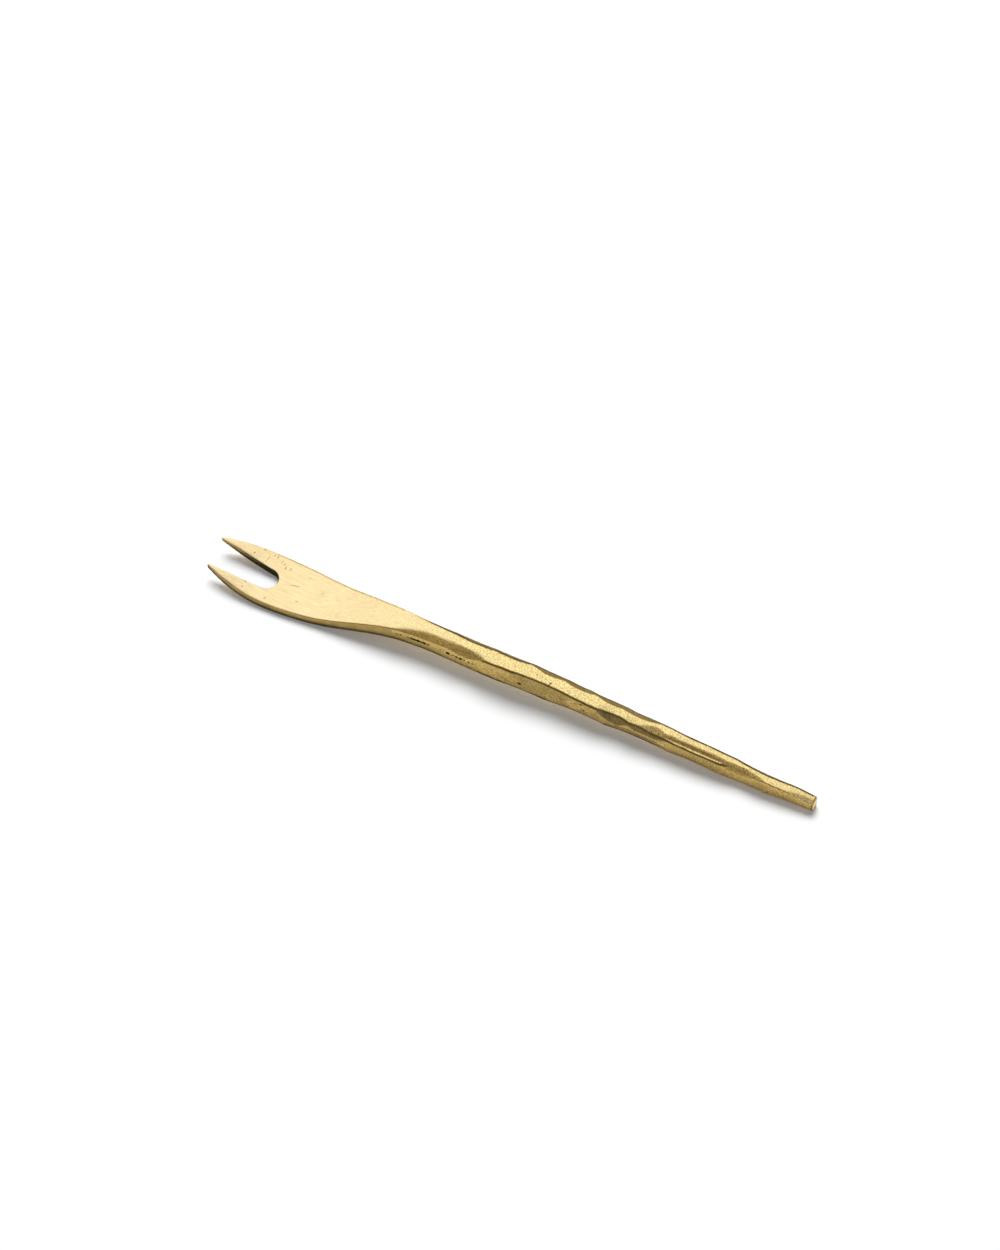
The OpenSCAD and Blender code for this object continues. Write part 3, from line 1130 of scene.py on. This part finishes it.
# Patina and painted shade of the handle: tones of its parts, and the slopes over which each comes in.
bar_tone = 1.1
last_tone = 1.0
end_tone = 0.75
below_tone = 0.7
contact_shade_tone = 1.9
near_edge_reflection_tone = 1.85
far_edge_reflection_tone = 1.95
end_rim_tone = 1.95
highlight_line_tone = 0.25
flank_slopes = (0.12, 0.42)
end_slopes = (0.4, 0.8)
below_slopes = (0.2, 0.6)
beneath_slopes = (0.75, 0.95)
rim_slopes = (0.12, 0.3)
near_rim_slopes = (0.5, 0.75)
far_rim_slopes = (0.95, 0.99)

# Where the tones change along the fork: distances from the tips of the fade in and of the fade out.
scoop_stations = (103, 106, 115, 119)
contact_shade_stations = (40, 48, 112, 120)
near_edge_stations = (68, 71, 129, 133)
far_edge_stations = (50, 56, 149, 150)
last_stretch = (end_x - 20 * mm, end_x - 10 * mm)

# Heights above a blow's own face over which its tarnish and painted shade come in. Under the scoop there is
# more of both, and below that a painted highlight line.
edge_reflection_width = 0.55 * mm
tarnish_and_shade_heights = (-0.07 * mm, -0.01 * mm)
scoop_heights = (-0.26 * mm, -0.18 * mm)
highlight_line_low = (-0.36 * mm, -0.32 * mm)
highlight_line_high = (-0.3 * mm, -0.26 * mm)
scoop = [blow[:2] for blow in face_blows].index((111, 164))


def at_stations(x, start, full, last, gone):
    """Fades in and out along the fork: four distances from the tips."""
    from_tips = (x - tip_x) / mm
    return part_way(from_tips, start, full) * (1 - part_way(from_tips, last, gone))


def above_blow(place, number):
    """Height of points above the curved face of a blow."""
    offset = place.T - blow_places[number]
    return offset @ blow_ways[number] - offset[:, 0] ** 2 / (2 * blow_radii[number])


def handle_patina_and_shade(place, slope):
    """Polished on the top facet, brown on the flanks and underneath, dark oxide and painted shade in the
    blows, painted dark reflections along the top edges, dark round the end, painted contact shade near the
    table and a painted highlight line under the scoop.
    """
    x, y, z = place
    flank = ease(part_way(np.abs(slope[1]), *flank_slopes))
    end = ease(part_way(slope[0], *end_slopes))
    below = ease(part_way(-slope[2], *below_slopes))
    flank_tone = between(joint_tone, bar_tone, part_way(x, tongue_x, thickest_x))
    flank_tone = between(flank_tone, last_tone, part_way(x, *last_stretch))
    worn = np.maximum.reduce([flank_tone * flank, end_tone * end, below_tone * below])

    lower_half = z < underside(x) + thickness(x) / 2
    under_scoop = at_stations(x, *scoop_stations) * lower_half
    for number, left in enumerate(tarnish_and_shade):
        gap = above_blow(place, number)
        worn = between(worn, left, ease(part_way(gap, *tarnish_and_shade_heights)))
        if number == scoop:
            worn = between(worn, left, ease(part_way(gap, *scoop_heights)) * under_scoop)
    # A painted highlight line lies a little below the scoop's face, on the lower half of the bar.
    gap = above_blow(place, scoop)
    highlight_line = ease(part_way(gap, *highlight_line_low)) * (1 - ease(part_way(gap, *highlight_line_high)))
    worn = between(worn, highlight_line_tone, highlight_line * under_scoop)

    # Painted contact shade near the table, left off the faces that look straight down.
    beneath = ease(part_way(-slope[2], *beneath_slopes))
    near_table_shade = contact_shade(x, z) * at_stations(x, *contact_shade_stations) * (1 - beneath)
    gap = np.empty(len(x))
    handle.data.attributes["edge_gap"].data.foreach_get("value", gap)
    near = y < aside(x)
    # A painted dark reflection along the two long edges of the top, full within a third of its width.
    line = 1 - ease(part_way(gap, edge_reflection_width / 3, edge_reflection_width))
    line *= np.where(near, at_stations(x, *near_edge_stations), at_stations(x, *far_edge_stations))
    edge_reflection_tone = np.where(near, near_edge_reflection_tone, far_edge_reflection_tone)

    far_or_low = slope[1] - slope[2] > 0
    rim_stop = np.where(far_or_low, part_way(slope[0], *far_rim_slopes), part_way(slope[0], *near_rim_slopes))
    end_rim = part_way(slope[0], *rim_slopes) * (1 - rim_stop)
    end_rim *= part_way(x, end_x - 2 * end_round, end_x - end_round)
    return np.maximum.reduce([worn, contact_shade_tone * near_table_shade, edge_reflection_tone * line, end_rim_tone * end_rim])


dress(handle, handle_patina_and_shade)
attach(handle, "root")
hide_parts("handle")

for helper in (lap_block, end_block, rebate_block, seam_marks, bar_marks, scratches, blows):
    bpy.data.objects.remove(helper)
